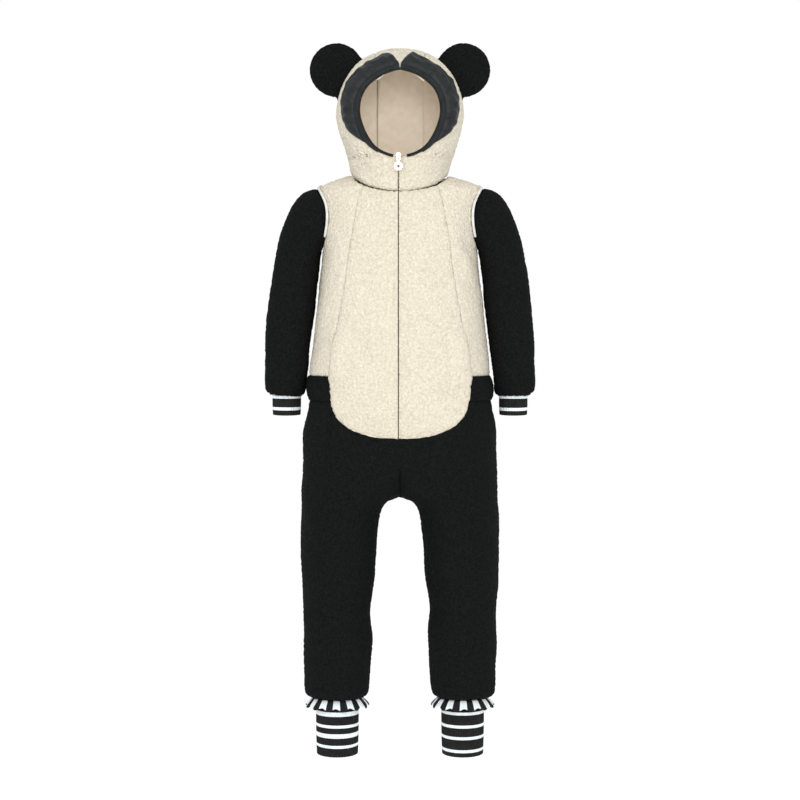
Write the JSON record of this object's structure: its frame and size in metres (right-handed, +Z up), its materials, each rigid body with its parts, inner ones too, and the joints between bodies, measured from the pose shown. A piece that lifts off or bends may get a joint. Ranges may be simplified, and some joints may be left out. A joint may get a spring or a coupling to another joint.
{
  "type": "panda onesie",
  "caption": "Child's hooded fleece one-piece suit with round ears, zip front, rib cuffs and a cream belly panel, filled out as when worn.",
  "frame": {"origin": "between the shoulder tips at shoulder seam height, where the wearer's shoulders carry the suit", "axes": "+Z up, -Y front, +X the wearer's left"},
  "size_m": [0.418, 0.2209, 1.1006],
  "materials": {
    "cream_fleece": "matte",
    "black_fleece": "matte",
    "striped_rib": "matte",
    "striped_jersey": "matte",
    "beige_lining": "matte",
    "black_binding": "matte",
    "black_nylon": "satin",
    "pale_piping": "matte",
    "zip_tape": "matte",
    "zip_metal": "satin"
  },
  "bodies": {
    "garment": {"ankle_cuff_left": "striped_rib", "ankle_cuff_right": "striped_rib", "armhole_piping_left": "pale_piping", "armhole_piping_right": "pale_piping", "back_bodice": "cream_fleece", "ear_back_left": "black_fleece", "ear_back_right": "black_fleece", "ear_front_left": "black_fleece", "ear_front_right": "black_fleece", "eye_patch_left": "black_nylon", "eye_patch_right": "black_nylon", "face_binding_left": "black_binding", "face_binding_right": "black_binding", "front_centre_left": "cream_fleece", "front_centre_right": "cream_fleece", "front_side_left": "cream_fleece", "front_side_right": "cream_fleece", "hem_ruffle_left": "striped_jersey", "hem_ruffle_right": "striped_jersey", "hood_centre": "cream_fleece", "hood_lining_centre": "beige_lining", "hood_lining_left": "beige_lining", "hood_lining_right": "beige_lining", "hood_side_left": "cream_fleece", "hood_side_right": "cream_fleece", "sleeve_left": "black_fleece", "sleeve_right": "black_fleece", "trouser_back_left": "black_fleece", "trouser_back_right": "black_fleece", "trouser_front_left": "black_fleece", "trouser_front_right": "black_fleece", "waist_band": "black_fleece", "wrist_cuff_left": "striped_rib", "wrist_cuff_right": "striped_rib", "zip_slider": "zip_metal", "zip_tape_left": "zip_tape", "zip_tape_right": "zip_tape"},
    "zip_pull_body": {"zip_pull": "zip_metal"}
  },
  "joints": [
    {"name": "zip_pull_swing", "type": "hinge", "parent": "garment", "child": "zip_pull_body", "pos_m": [-0.0025, -0.09098, 0.0456], "axis": [-1, 0, 0], "range_deg": [0, 170]}
  ]
}
